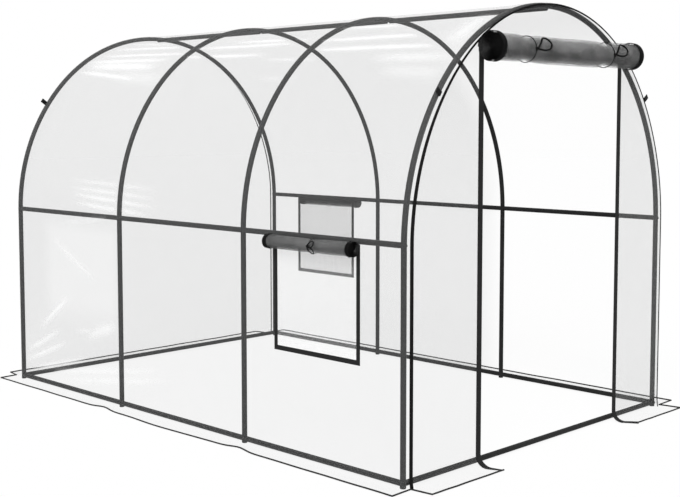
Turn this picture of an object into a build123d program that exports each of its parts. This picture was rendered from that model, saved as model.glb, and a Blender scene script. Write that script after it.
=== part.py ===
from build123d import *

import os
from math import cos, radians, sin, sqrt

# Walk-in polytunnel: four steel hoops under one film cover, millimetres.
# +Z is up, +Y runs along the ridge from the door to the closed end, and the
# origin lies on the ground under the middle of the ridge.

# Steel frame
tube_diameter = 25.0
tube_wall = 1.2
frame_width = 2000.0  # over the outsides of the legs
frame_length = 3000.0  # over the outsides of the end hoops
hoop_names = ("front", "second", "third", "rear")
spring_height = 988.0  # top of the straight legs, where the arch begins
arch_rise = 1034.0  # springing to crown, on the tube's centreline
haunch_angle = 42.8  # degrees turned by each side arc of the arch
side_rail_rise = 10.0  # side rail's axis above the springing
ridge_drop = 8.0  # ridge rail's axis below the crown's centreline
ground_rail_height = 20.0
foot_thickness = 4.0  # closed end at the bottom of each leg
joint_gap = 0.3  # where one round tube meets another

# Film cover
film_thickness = 2.0
film_gap = 0.4  # between the tubes and the film
cover_overhang = 35.0  # end hoop's axis to the outer face of the end panel

# Ground flaps, the film's hem turned outwards on the ground
side_flap_width = 87.6
front_flap_width = 102.5
rear_flap_width = 125.0
side_flap_tail = 52.0  # side flaps run this far past the rear panel
corner_notch = 30.0  # end flaps stop this far short of the cover's corners
front_flap_skew = 40.0  # sideways run of the front flaps' outer edge

# Door and windows
door_width = 1073.0
door_corner_drop = 30.0  # top corners of the door's binding below the hoop's centreline
window_width = 490.0
window_height = 467.0
window_drop = 23.0  # springing down to the window's clear head
binding_width = 22.0
binding_thickness = 1.5
screen_thickness = 1.0

# Rolled covers and their ties
roll_gap = 0.3  # between a roll and the binding behind it
collar_length = 24.0  # bound edges of the film, at each end of a roll
roll_overhang = 2.0  # each end of a roll past the binding below it
door_roll_diameter = 118.0
door_collar_diameter = 125.0
door_roll_rise = 20.0  # door roll's axis above the clear head
door_tie_spacing = 620.0
window_roll_diameter = 68.0
window_collar_diameter = 75.0
window_roll_rise = 10.0  # window roll's axis above the clear head
tie_diameter = 3.0

# Guy tabs at the four top corners of the end panels
tab_reach = 20.0
tab_width = 15.0
tab_thickness = 3.0
tab_angle_share = 0.82  # of the side arc, up from the springing

# Worked out from the sizes above
tube_radius = tube_diameter / 2
half_span = frame_width / 2 - tube_radius
half_length = frame_length / 2 - tube_radius
bay_length = 2 * half_length / (len(hoop_names) - 1)
hoop_stations = [-half_length + bay_length * count for count in range(len(hoop_names))]
crown_height = spring_height + arch_rise
side_rail_height = spring_height + side_rail_rise

# Three-centred arch: the side arcs meet the crown arc at the haunch angle
radius_step = (arch_rise - half_span) / (
    cos(radians(haunch_angle)) + sin(radians(haunch_angle)) - 1
)
side_offset = radius_step * cos(radians(haunch_angle))
side_radius = half_span + side_offset
crown_radius = side_radius - radius_step
crown_centre = crown_height - crown_radius

cope_radius = tube_radius + joint_gap
tab_angle = haunch_angle * tab_angle_share

film_inside = tube_radius + film_gap
film_outside = film_inside + film_thickness
wall_inside = half_span + film_inside
wall_outside = half_span + film_outside
panel_outside = half_length + cover_overhang
panel_inside = panel_outside - film_thickness
door_half = door_width / 2
door_bound_half = door_half + binding_width
bay_middle = half_length - bay_length / 2
window_head = spring_height - window_drop
window_middle = window_head - window_height / 2
wall_height = spring_height - film_thickness
wall_middle = (spring_height + film_thickness) / 2


def arch_height(x):
    """Height of the arch's centreline at a distance x from the ridge line."""
    if x < crown_radius * cos(radians(haunch_angle)):
        return crown_centre + sqrt(crown_radius**2 - x**2)
    return spring_height + sqrt(side_radius**2 - (x + side_offset) ** 2)


door_head = arch_height(door_bound_half) - door_corner_drop - binding_width


def save(piece, label):
    piece.part.label = label
    export_step(piece.part, f"parts/{label}.step")


def tube_section():
    """Ring section of the frame tube, at the current place of a sketch."""
    Circle(tube_radius)
    Circle(tube_radius - tube_wall, mode=Mode.SUBTRACT)


def arch_arcs(reach):
    """Three tangent arcs of the arch, drawn a reach outside the tube's centreline."""
    CenterArc((-side_offset, spring_height), side_radius + reach, 0, haunch_angle)
    CenterArc((0, crown_centre), crown_radius + reach, haunch_angle, 180 - 2 * haunch_angle)
    CenterArc((side_offset, spring_height), side_radius + reach, 180 - haunch_angle, haunch_angle)


def gable_lines():
    """Outline of an end of the cover: the arch, straight walls and the hem line."""
    arch_arcs(film_outside)
    Polyline(
        (-wall_outside, spring_height),
        (-wall_outside, film_thickness),
        (wall_outside, film_thickness),
        (wall_outside, spring_height),
    )


def leg(x, y):
    """Straight tube from the ground to the springing, with a closed foot."""
    with BuildPart() as post:
        with BuildSketch():
            with Locations((x, y)):
                Circle(tube_radius)
        extrude(amount=spring_height)
        with BuildSketch(Plane.XY.offset(foot_thickness)):
            with Locations((x, y)):
                Circle(tube_radius - tube_wall)
        extrude(amount=spring_height - foot_thickness, mode=Mode.SUBTRACT)
    return post


def arch(y):
    """Bent tube that springs from the tops of two legs."""
    with BuildPart() as bow:
        with BuildLine(Plane.XZ.offset(-y)) as path:
            arch_arcs(0)
        with BuildSketch(Plane.XY.offset(spring_height)):
            with Locations((half_span, y)):
                tube_section()
        sweep(path=path.wires()[0])
    return bow


def wall_rail(x, z):
    """One tube to a bay beside the legs, each end coped round the leg that it meets."""
    with BuildPart() as rail:
        with BuildSketch(Plane.XZ.offset(half_length)):
            with Locations((x, z)):
                tube_section()
        extrude(amount=-2 * half_length)
        with Locations(*[(x, y, z) for y in hoop_stations]):
            Cylinder(cope_radius, 2 * tube_diameter, mode=Mode.SUBTRACT)
    return rail


def end_rail(y):
    """Ground rail across an end, cut square between the two corner legs."""
    reach = half_span - tube_radius - joint_gap
    with BuildPart() as rail:
        with BuildSketch(Plane.YZ.offset(-reach)):
            with Locations((y, ground_rail_height)):
                tube_section()
        extrude(amount=2 * reach)
    return rail


def wall_film(inner_x, side, window_y):
    """Flat side of the cover, from the hem to the springing, with its window cut out."""
    with BuildPart() as sheet:
        with BuildSketch(Plane.YZ.offset(inner_x)):
            with Locations((0, wall_middle)):
                Rectangle(2 * panel_inside, wall_height)
            with Locations((window_y, window_middle)):
                Rectangle(window_width, window_height, mode=Mode.SUBTRACT)
        extrude(amount=side * film_thickness)
    return sheet


def front_film(low_x, high_x, low_z):
    """Part of the front panel between two upright lines, above a level."""
    with BuildPart() as sheet:
        with BuildSketch(Plane.XZ.offset(panel_inside)):
            with BuildLine():
                gable_lines()
            make_face()
            with Locations(((low_x + high_x) / 2, (low_z + crown_height + film_outside) / 2)):
                Rectangle(
                    high_x - low_x, crown_height + film_outside - low_z, mode=Mode.INTERSECT
                )
        extrude(amount=film_thickness)
    return sheet


def ground_flap(corners):
    """Flap of film that lies flat on the ground."""
    with BuildPart() as flap:
        with BuildSketch():
            with BuildLine():
                Polyline(*corners, close=True)
            make_face()
        extrude(amount=film_thickness)
    return flap


def skewed_flap(inner_x, outer_x, width):
    """Four corners of a front flap, its outer edge shifted along the panel."""
    edge_y = -panel_outside - width
    return (
        (inner_x, -panel_inside),
        (outer_x, -panel_inside),
        (outer_x + front_flap_skew, edge_y),
        (inner_x + front_flap_skew, edge_y),
    )


def door_binding(side):
    """Tape down one edge of the doorway that turns out over the end of its flap."""
    strip_x = side * (door_half + binding_width / 2)
    strip_top = door_head + binding_width
    near_x = side * door_half
    far_x = side * door_bound_half
    edge_y = -panel_outside - front_flap_width
    with BuildPart() as tape:
        with BuildSketch(Plane.XZ.offset(panel_outside)):
            with Locations((strip_x, (strip_top + film_thickness) / 2)):
                Rectangle(binding_width, strip_top - film_thickness)
        extrude(amount=binding_thickness)
        with BuildSketch(Plane.XY.offset(film_thickness)):
            with BuildLine():
                Polyline(
                    (near_x, -panel_outside),
                    (far_x, -panel_outside),
                    (far_x + front_flap_skew, edge_y),
                    (near_x + front_flap_skew, edge_y),
                    close=True,
                )
            make_face()
        extrude(amount=binding_thickness)
    return tape


def window_binding(outer_x, side, window_y):
    """Tape round all four edges of a window, on the outside of the wall."""
    with BuildPart() as tape:
        with BuildSketch(Plane.YZ.offset(outer_x)):
            with Locations((window_y, window_middle)):
                Rectangle(window_width + 2 * binding_width, window_height + 2 * binding_width)
                Rectangle(window_width, window_height, mode=Mode.SUBTRACT)
        extrude(amount=side * binding_thickness)
    return tape


def window_screen(inner_x, side, window_y):
    """Insect screen that fills a window, midway in the film's thickness."""
    with BuildPart() as screen:
        with BuildSketch(Plane.YZ.offset(inner_x + side * (film_thickness - screen_thickness) / 2)):
            with Locations((window_y, window_middle)):
                Rectangle(window_width, window_height)
        extrude(amount=side * screen_thickness)
    return screen


def rolled_cover(start, length, diameter, collar_diameter):
    """Rolled film along a plane's normal, thicker at its two bound ends."""
    with BuildPart() as roll:
        with BuildSketch(start):
            Circle(diameter / 2)
        extrude(amount=length)
        with BuildSketch(start, start.offset(length - collar_length)):
            Circle(collar_diameter / 2)
        extrude(amount=collar_length)
    return roll


def tie_rings(places, diameter):
    """Cord rings that lie round a roll."""
    ring_radius = (diameter + tie_diameter) / 2 + joint_gap
    with BuildPart() as rings:
        with Locations(*places):
            Torus(ring_radius, tie_diameter / 2)
    return rings


os.makedirs("parts", exist_ok=True)

# Hoops: two legs and an arch to each station
for hoop_name, station in zip(hoop_names, hoop_stations):
    save(leg(-half_span, station), f"{hoop_name}_left_leg")
    save(leg(half_span, station), f"{hoop_name}_right_leg")
    save(arch(station), f"{hoop_name}_arch")

# Rails along the walls and across the ends
for side_name, rail_x in (("left", -half_span), ("right", half_span)):
    save(wall_rail(rail_x, side_rail_height), f"{side_name}_side_rail")
    save(wall_rail(rail_x, ground_rail_height), f"{side_name}_ground_rail")
save(end_rail(-half_length), "front_ground_rail")
save(end_rail(half_length), "rear_ground_rail")

# Ridge rail: one tube to a bay, saddled under the crown of each arch
ridge_cut = tube_diameter + ridge_drop
with BuildPart() as ridge:
    with BuildSketch(Plane.XZ.offset(half_length)):
        with Locations((0, crown_height - ridge_drop)):
            tube_section()
    extrude(amount=-2 * half_length)
    with BuildSketch(Plane.YZ):
        with Locations(*[(y, crown_height) for y in hoop_stations]):
            Circle(cope_radius)
        with Locations(*[(y, crown_height - ridge_cut / 2) for y in hoop_stations]):
            Rectangle(2 * cope_radius, ridge_cut)
    extrude(amount=tube_diameter, both=True, mode=Mode.SUBTRACT)
save(ridge, "ridge_rail")

# Roof of the cover: the film between two offset arches
with BuildPart() as roof:
    with BuildSketch(Plane.XZ.offset(panel_inside)):
        with BuildLine():
            arch_arcs(film_outside)
            Line((-wall_outside, spring_height), (wall_outside, spring_height))
        make_face()
        with BuildLine():
            arch_arcs(film_inside)
            Line((-wall_inside, spring_height), (wall_inside, spring_height))
        make_face(mode=Mode.SUBTRACT)
    extrude(amount=-2 * panel_inside)
save(roof, "roof_film")

# Walls and ends of the cover
save(wall_film(-wall_inside, -1, -bay_middle), "left_wall_film")
save(wall_film(wall_inside, 1, bay_middle), "right_wall_film")
save(front_film(-wall_outside, -door_half, film_thickness), "front_left_film")
save(front_film(door_half, wall_outside, film_thickness), "front_right_film")
save(front_film(-door_half, door_half, door_head), "door_header_film")
with BuildPart() as rear_end:
    with BuildSketch(Plane.XZ.offset(-panel_outside)):
        with BuildLine():
            gable_lines()
        make_face()
    extrude(amount=film_thickness)
save(rear_end, "rear_film")

# Ground flaps
flap_end = wall_outside - corner_notch
for side_name, side in (("left", -1), ("right", 1)):
    side_corners = (
        (side * wall_inside, -panel_outside),
        (side * (wall_outside + side_flap_width), -panel_outside),
        (side * (wall_outside + side_flap_width), panel_outside + side_flap_tail),
        (side * wall_inside, panel_outside + side_flap_tail),
    )
    save(ground_flap(side_corners), f"{side_name}_flap")
    front_corners = skewed_flap(side * door_half, side * flap_end, front_flap_width)
    save(ground_flap(front_corners), f"front_{side_name}_flap")
    save(door_binding(side), f"door_{side_name}_binding")
rear_corners = (
    (-flap_end, panel_inside),
    (flap_end, panel_inside),
    (flap_end, panel_outside + rear_flap_width),
    (-flap_end, panel_outside + rear_flap_width),
)
save(ground_flap(rear_corners), "rear_flap")

# Head of the doorway
with BuildPart() as door_head_tape:
    with BuildSketch(Plane.XZ.offset(panel_outside)):
        with Locations((0, door_head + binding_width / 2)):
            Rectangle(door_width, binding_width)
    extrude(amount=binding_thickness)
save(door_head_tape, "door_head_binding")

# Windows: bound openings, each with an insect screen
for side_name, side in (("left", -1), ("right", 1)):
    save(window_binding(side * wall_outside, side, side * bay_middle), f"{side_name}_window_binding")
    save(window_screen(side * wall_inside, side, side * bay_middle), f"{side_name}_window_screen")

# Door roll, held up by two cord ties
door_roll_length = 2 * (door_bound_half + roll_overhang)
door_roll_height = door_head + door_roll_rise
door_roll_y = -panel_outside - binding_thickness - roll_gap - door_collar_diameter / 2
door_roll_start = Plane(
    origin=(-door_roll_length / 2, door_roll_y, door_roll_height),
    x_dir=(0, 1, 0),
    z_dir=(1, 0, 0),
)
door_roll = rolled_cover(
    door_roll_start, door_roll_length, door_roll_diameter, door_collar_diameter
)
save(door_roll, "door_roll")
along_x = (0, 90, 0)
door_ties = [
    Location((x, door_roll_y, door_roll_height), along_x)
    for x in (-door_tie_spacing / 2, door_tie_spacing / 2)
]
save(tie_rings(door_ties, door_roll_diameter), "door_roll_ties")

# Window rolls, each with one tie
window_roll_length = window_width + 2 * (binding_width + roll_overhang)
window_roll_height = window_head + window_roll_rise
window_roll_reach = wall_outside + binding_thickness + roll_gap + window_collar_diameter / 2
along_y = (90, 0, 0)
for side_name, side in (("left", -1), ("right", 1)):
    roll_x = side * window_roll_reach
    roll_y = side * bay_middle
    roll_start = Plane(
        origin=(roll_x, roll_y + window_roll_length / 2, window_roll_height),
        x_dir=(1, 0, 0),
        z_dir=(0, -1, 0),
    )
    window_roll = rolled_cover(
        roll_start, window_roll_length, window_roll_diameter, window_collar_diameter
    )
    save(window_roll, f"{side_name}_window_roll")
    window_tie = [Location((roll_x, roll_y, window_roll_height), along_y)]
    save(tie_rings(window_tie, window_roll_diameter), f"{side_name}_window_tie")

# Guy tabs, standing off the cover where its seams cross the side arcs
tab_radius = side_radius + film_outside + joint_gap + tab_reach / 2
tab_x = tab_radius * cos(radians(tab_angle)) - side_offset
tab_z = spring_height + tab_radius * sin(radians(tab_angle))
tab_y = panel_inside - tab_thickness / 2
tab_places = []
for end in (-1, 1):
    tab_places.append(Location((tab_x, end * tab_y, tab_z), (0, -tab_angle, 0)))
    tab_places.append(Location((-tab_x, end * tab_y, tab_z), (0, tab_angle - 180, 0)))
with BuildPart() as guy_tabs:
    with Locations(*tab_places):
        Box(tab_reach, tab_thickness, tab_width)
save(guy_tabs, "guy_tabs")
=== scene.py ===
from math import cos, pi, radians, sin, tau

import bmesh
import bpy
import numpy as np
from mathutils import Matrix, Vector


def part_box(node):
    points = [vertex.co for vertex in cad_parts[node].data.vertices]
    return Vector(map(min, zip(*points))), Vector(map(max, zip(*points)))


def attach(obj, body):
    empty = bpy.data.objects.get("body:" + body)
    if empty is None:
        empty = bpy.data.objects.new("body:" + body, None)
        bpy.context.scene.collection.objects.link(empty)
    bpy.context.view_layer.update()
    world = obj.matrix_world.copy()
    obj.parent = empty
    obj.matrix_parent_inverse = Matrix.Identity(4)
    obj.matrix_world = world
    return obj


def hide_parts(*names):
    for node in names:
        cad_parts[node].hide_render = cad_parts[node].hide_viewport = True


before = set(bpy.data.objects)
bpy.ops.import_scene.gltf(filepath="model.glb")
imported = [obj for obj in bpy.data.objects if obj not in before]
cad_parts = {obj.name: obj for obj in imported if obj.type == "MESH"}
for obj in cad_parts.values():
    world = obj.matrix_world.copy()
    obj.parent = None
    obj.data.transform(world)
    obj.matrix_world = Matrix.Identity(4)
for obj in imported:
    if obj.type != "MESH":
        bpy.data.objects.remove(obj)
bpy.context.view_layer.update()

# Walk-in polytunnel, metres: the steel hoops are the frame's own tubes, and the film
# cover, its flaps, tapes, rolls and ties are surfaces worked out over the same sizes.


def box(node):
    """Lowest and highest corner of a node of the frame, as two arrays."""
    low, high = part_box(node)
    return np.array(low), np.array(high)


# Sizes read from the frame
hoop_names = ("front", "second", "third", "rear")
wall_sides = {"left": -1, "right": 1}
leg_low, leg_high = box("front_left_leg")
tube_radius = (leg_high[0] - leg_low[0]) / 2
half_span = -(leg_low[0] + leg_high[0]) / 2
spring_height = leg_high[2]
hoop_y = np.array([np.mean([part[1] for part in box(f"{name}_left_leg")]) for name in hoop_names])
crown_height = box("front_arch")[1][2] - tube_radius
wall_x = box("right_wall_film")[1][0]
panel_y = box("rear_film")[1][1]
film_reach = wall_x - half_span
rail_height = np.mean([part[2] for part in box("left_side_rail")])
ground_rail_height = np.mean([part[2] for part in box("left_ground_rail")])
ridge_height = np.mean([part[2] for part in box("ridge_rail")])
door_half = box("front_right_film")[0][0]
door_head = box("door_head_binding")[0][2]
tape_width = box("door_head_binding")[1][2] - door_head

# Three-centred arch: the side arcs meet the crown arc at the haunch angle
haunch = radians(42.8)
arch_rise = crown_height - spring_height
radius_step = (arch_rise - half_span) / (cos(haunch) + sin(haunch) - 1)
side_offset = radius_step * cos(haunch)
side_radius = half_span + side_offset
crown_radius = side_radius - radius_step
crown_centre = crown_height - crown_radius
crown_run = crown_radius * (pi / 2 - haunch)
side_run = side_radius * haunch

# Film
film_skin = 0.0006
veil_alpha = 0.0736  # share of light that one face of plain film stops
rim_radius = 0.020  # rounded corner between the cover and an end panel
rear_y = 1.505  # rear panel lies close behind its hoop
side_bend = 0.030  # film turns out of the wall into a flap on this radius
end_bend = 0.055
bend_steps = 7  # points round such a turn
ground_lift = 0.0015  # film lies this far above the ground
up = np.array((0.0, 0.0, 1.0))


def wall_run(height):
    """Run from the crown down to a height on the straight wall."""
    return crown_run + side_run + spring_height - height


def gable(run, reach):
    """Gable line at a signed run from the crown, moved outwards by a reach.

    The line is the crown arc, then a side arc tangent to it, then the straight wall;
    a negative run is on the left. Gives x and z.
    """
    side = np.where(run < 0, -1.0, 1.0)
    away = np.abs(run)
    crown_turn = pi / 2 - away / crown_radius
    side_turn = haunch - (away - crown_run) / side_radius
    zones = [away < crown_run, away < crown_run + side_run]
    crown, flank = crown_radius + reach, side_radius + reach
    x = np.select(
        zones,
        [crown * np.cos(crown_turn), flank * np.cos(side_turn) - side_offset],
        half_span + reach,
    )
    z = np.select(
        zones,
        [crown_centre + crown * np.sin(crown_turn), spring_height + flank * np.sin(side_turn)],
        spring_height - (away - crown_run - side_run),
    )
    return side * x, z


def stations(stops, step):
    """Places from stop to stop, evenly spaced in each run at about a step."""
    runs = []
    for start, end in zip(stops, stops[1:]):
        count = max(1, int(round(abs(end - start) / step)))
        runs.append(np.linspace(start, end, count, endpoint=False))
    return np.concatenate(runs + [np.array(stops[-1:])])


def rise(value, start, end):
    """Smooth step from 0 at start to 1 at end."""
    share = np.clip((value - start) / (end - start), 0, 1)
    return share * share * (3 - 2 * share)


def unit(vectors):
    """Vectors scaled to length one."""
    return vectors / np.linalg.norm(vectors, axis=-1, keepdims=True)


def spots(x, y, z):
    """Points from their coordinates, each of which is an array or one number."""
    return np.stack(np.broadcast_arrays(x, y, z), axis=-1)


# Grids and meshes


def lattice(points, u=None, v=None, round_rows=False, round_columns=False, keep=None, fields=None):
    """Faces of a grid of points: one quad to a cell.

    The last row or column joins the first where it is round, cells that are not kept
    are left out, and u and v are the flat places of the rows and columns.
    """
    rows, columns = points.shape[:2]
    number = np.arange(rows * columns).reshape(rows, columns)
    if round_rows:
        number = np.concatenate([number, number[:1]])
    if round_columns:
        number = np.concatenate([number, number[:, :1]], axis=1)
    u = np.arange(number.shape[0]) if u is None else np.asarray(u)
    v = np.arange(number.shape[1]) if v is None else np.asarray(v)
    flat = np.stack(np.broadcast_arrays(u[:, None], v[None, :]), axis=-1).astype(float)

    def corners(grid):
        return np.stack([grid[:-1, :-1], grid[1:, :-1], grid[1:, 1:], grid[:-1, 1:]], axis=2)

    quads, places = corners(number), corners(flat)
    keep = np.ones(quads.shape[:2], bool) if keep is None else keep
    spread = {
        name: np.broadcast_to(field, (rows, columns)).ravel() for name, field in (fields or {}).items()
    }
    return {"points": points.reshape(-1, 3), "quads": quads[keep], "uv": places[keep], "fields": spread}


def placed(name, data):
    """New object in the scene that shows a mesh, a light or a camera."""
    made = bpy.data.objects.new(name, data)
    bpy.context.scene.collection.objects.link(made)
    return made


def piece(name, patches, material, replaced=(), closed=True, skin=0.0, inside=None):
    """One object made of several grids, with doubles merged so that poles and seams close.

    Closed shapes have their faces turned outwards; an open film sheet gets a skin inwards,
    which may have a material of its own.
    """
    counts = np.cumsum([0] + [len(patch["points"]) for patch in patches])
    points = np.concatenate([patch["points"] for patch in patches])
    quads = np.concatenate([patch["quads"] + start for patch, start in zip(patches, counts)])
    uv = np.concatenate([patch["uv"] for patch in patches])
    used = np.unique(quads)
    number = np.zeros(len(points), int)
    number[used] = np.arange(len(used))
    mesh = bpy.data.meshes.new(name)
    mesh.from_pydata(points[used].tolist(), [], number[quads].tolist())
    layer = mesh.uv_layers.new(name="flat")
    layer.data.foreach_set("uv", uv.reshape(-1).astype(np.float32))
    for field in patches[0]["fields"]:
        values = np.concatenate([patch["fields"][field] for patch in patches])[used]
        mesh.attributes.new(field, "FLOAT", "POINT").data.foreach_set("value", values.astype(np.float32))
    shape = bmesh.new()
    shape.from_mesh(mesh)
    bmesh.ops.remove_doubles(shape, verts=shape.verts, dist=1e-6)
    if closed:
        bmesh.ops.recalc_face_normals(shape, faces=shape.faces)
    shape.to_mesh(mesh)
    shape.free()
    mesh.polygons.foreach_set("use_smooth", np.ones(len(mesh.polygons), bool))
    mesh.materials.append(material)
    made = placed(name, mesh)
    if skin:
        sheet = made.modifiers.new("skin", "SOLIDIFY")
        sheet.thickness = skin
        sheet.offset = -1
        if inside:
            mesh.materials.append(inside)
            sheet.material_offset = 1
    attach(made, "root")
    if replaced:
        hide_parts(*replaced)
    return made


def headings(path, ring=False):
    """Unit direction of travel at each point of a path, by central differences."""
    if ring:
        return unit(np.roll(path, -1, axis=0) - np.roll(path, 1, axis=0))
    return unit(np.gradient(path, axis=0))


def run_lengths(path):
    """Length run along a path up to each of its points."""
    steps = np.linalg.norm(np.diff(path, axis=0), axis=1)
    return np.concatenate([[0.0], np.cumsum(steps)])


def with_poles(path, rings):
    """Rings of points along a path with a pole added at each end, and the length run up to each."""
    count = rings.shape[1]
    start, end = (np.repeat(pole[:, None], count, 1) for pole in (path[:1], path[-1:]))
    along = run_lengths(path)
    return np.concatenate([start, rings, end]), np.concatenate([along[:1], along, along[-1:]])


def cord(path, radius, spine, sides=10, ring=False):
    """Round section carried along a path.

    Each ring of points stands square to the path, its first spoke along the part of the
    spine direction that is square to the path; an open path ends in a pole at each end.
    """
    path = np.asarray(path, float)
    radius = np.broadcast_to(np.asarray(radius, float), len(path))
    ahead = headings(path, ring)
    spine = np.asarray(spine, float)
    first = unit(spine - (ahead @ spine)[:, None] * ahead)
    second = np.cross(ahead, first)
    turn = np.arange(sides) * tau / sides
    spokes = np.cos(turn)[None, :, None] * first[:, None] + np.sin(turn)[None, :, None] * second[:, None]
    points = path[:, None] + radius[:, None, None] * spokes
    if ring:
        along = run_lengths(np.concatenate([path, path[:1]]))
    else:
        points, along = with_poles(path, points)
    return lattice(points, along, np.arange(sides + 1) / sides, round_rows=ring, round_columns=True)


def slab_section(width, thickness, corners=16):
    """Rounded slab as points round its middle: a squared-off ellipse."""
    turn = (np.arange(corners) + 0.5) * tau / corners
    across = np.sign(np.cos(turn)) * np.abs(np.cos(turn)) ** 0.35 * width / 2
    through = np.sign(np.sin(turn)) * np.abs(np.sin(turn)) ** 0.6 * thickness / 2
    return across, through


def tape(path, face, width, thickness, taper=1.0):
    """Flat tape along a path: a rounded slab, thin along the way that its face looks.

    The tape's width lies square to the path and to its face and narrows by the taper, and
    both ends are closed.
    """
    path = np.asarray(path, float)
    ahead = headings(path)
    face = np.broadcast_to(np.asarray(face, float), path.shape)
    face = unit(face - np.sum(face * ahead, axis=1, keepdims=True) * ahead)
    side = np.cross(ahead, face)
    across, through = slab_section(width, thickness)
    taper = np.broadcast_to(np.asarray(taper, float), len(path))[:, None, None]
    rings = path[:, None] + taper * across[None, :, None] * side[:, None]
    points, along = with_poles(path, rings + through[None, :, None] * face[:, None])
    places = np.append(across, across[0]) / width + 0.5
    return lattice(points, along / width, places, round_columns=True)


def turned(profile, origin, axis, sides=20):
    """Profile of radius and rise swung round an axis from an origin, with poles closed."""
    radius, rises = (np.asarray(column, float) for column in zip(*profile))
    axis = np.asarray(axis, float)
    helper = up if abs(axis[2]) < 0.5 else np.array((1.0, 0.0, 0.0))
    first = unit(np.cross(axis, helper))
    second = np.cross(axis, first)
    turn = np.arange(sides) * tau / sides
    spokes = np.cos(turn)[:, None] * first + np.sin(turn)[:, None] * second
    points = np.asarray(origin) + rises[:, None, None] * axis + radius[:, None, None] * spokes[None]
    return lattice(points, rises * 100, np.arange(sides + 1) / sides, round_columns=True)


# Materials


def shader(name):
    """New node material: gives the material, its tree and its surface shader."""
    material = bpy.data.materials.new(name)
    material.use_nodes = True
    return material, material.node_tree, material.node_tree.nodes["Principled BSDF"]


def join(tree, socket, source):
    """Socket joined to an output, or set to a plain value."""
    if isinstance(source, (int, float, tuple)):
        socket.default_value = source
    else:
        tree.links.new(source, socket)


def feed(tree, node, **sources):
    """Named sockets of a node, each joined to an output or set to a plain value."""
    for name, source in sources.items():
        join(tree, node.inputs[name.replace("_", " ")], source)


def add(tree, kind, settings=None, **sources):
    """New node in a tree, with its settings and what feeds its named sockets."""
    made = tree.nodes.new(kind)
    for name, value in (settings or {}).items():
        setattr(made, name, value)
    feed(tree, made, **sources)
    return made


def maths(tree, operation, *sources):
    """Output of a math node fed by outputs or numbers."""
    made = add(tree, "ShaderNodeMath", {"operation": operation})
    for socket, source in zip(made.inputs, sources):
        join(tree, socket, source)
    return made.outputs[0]


def blend_colours(tree, share, first, second):
    """Output of a colour mix between two plain colours, by a share."""
    made = add(tree, "ShaderNodeMix", {"data_type": "RGBA"})
    made.inputs[6].default_value = (*first, 1)
    made.inputs[7].default_value = (*second, 1)
    tree.links.new(share, made.inputs[0])
    return made.outputs[2]


def scaled(tree, value, low, high):
    """Output that takes a 0 to 1 value to a range."""
    made = add(tree, "ShaderNodeMapRange", Value=value, To_Min=low, To_Max=high)
    return made.outputs["Result"]


def relief(tree, surface, height, distance, strength=1.0):
    """Bump from a height, joined to the surface's normal."""
    made = add(tree, "ShaderNodeBump", Strength=strength, Distance=distance, Height=height)
    feed(tree, surface, Normal=made.outputs["Normal"])


def attribute(tree, field):
    """Output of a field that a mesh carries on its points."""
    return add(tree, "ShaderNodeAttribute", {"attribute_name": field}).outputs["Fac"]


def cloud_group():
    """Cloudy mask on the object's own coordinates, spread over 0 to 1."""
    group = bpy.data.node_groups.new("cloud", "ShaderNodeTree")
    group.interface.new_socket("Scale", in_out="INPUT", socket_type="NodeSocketFloat")
    group.interface.new_socket("Stretch", in_out="INPUT", socket_type="NodeSocketVector")
    group.interface.new_socket("Mask", in_out="OUTPUT", socket_type="NodeSocketFloat")
    given, result = add(group, "NodeGroupInput").outputs, add(group, "NodeGroupOutput")
    place = add(group, "ShaderNodeTexCoord").outputs["Object"]
    stretched = add(group, "ShaderNodeMapping", Vector=place, Scale=given["Stretch"]).outputs["Vector"]
    noise = add(group, "ShaderNodeTexNoise", Vector=stretched, Detail=4.0, Roughness=0.55)
    feed(group, noise, Scale=given["Scale"])
    spread = add(group, "ShaderNodeMapRange", Value=noise.outputs["Fac"], From_Min=0.3, From_Max=0.7)
    feed(group, result, Mask=spread.outputs["Result"])
    return group


def weave_group():
    """Plain weave on the flat map: yarns cross over and under as a product of two waves."""
    group = bpy.data.node_groups.new("weave", "ShaderNodeTree")
    for name in ("Along", "Across"):
        group.interface.new_socket(name, in_out="INPUT", socket_type="NodeSocketFloat")
    group.interface.new_socket("Height", in_out="OUTPUT", socket_type="NodeSocketFloat")
    given, result = add(group, "NodeGroupInput").outputs, add(group, "NodeGroupOutput")
    flat = add(group, "ShaderNodeUVMap", {"uv_map": "flat"}).outputs["UV"]
    parts = add(group, "ShaderNodeSeparateXYZ", Vector=flat)
    waves = []
    for axis, name in enumerate(("Along", "Across")):
        turns = maths(group, "MULTIPLY", parts.outputs[axis], given[name])
        waves.append(maths(group, "SINE", maths(group, "MULTIPLY", turns, pi)))
    height = maths(group, "MULTIPLY_ADD", maths(group, "MULTIPLY", *waves), 0.5, 0.5)
    feed(group, result, Height=height)
    return group


cloud_nodes = cloud_group()
weave_nodes = weave_group()


def cloud(tree, scale, stretch=(1, 1, 1)):
    """Cloudy mask placed in a material."""
    made = add(tree, "ShaderNodeGroup", {"node_tree": cloud_nodes}, Scale=scale, Stretch=stretch)
    return made.outputs["Mask"]


def weave(tree, along, across):
    """Woven height placed in a material, with so many yarns along and across."""
    made = add(tree, "ShaderNodeGroup", {"node_tree": weave_nodes}, Along=along, Across=across)
    return made.outputs["Height"]


def coated_tube():
    """Dark grey powder coat: faint mottle, fine orange peel and a satin gloss."""
    material, tree, surface = shader("coated_tube")
    colour = blend_colours(tree, cloud(tree, 14.0), (0.012, 0.0122, 0.0122), (0.018, 0.0183, 0.0183))
    satin = scaled(tree, cloud(tree, 60.0), 0.42, 0.56)
    feed(tree, surface, Base_Color=colour, Roughness=satin, Specular_IOR_Level=0.09)
    relief(tree, surface, cloud(tree, 1400.0), 0.0002, 0.35)
    return material


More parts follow.
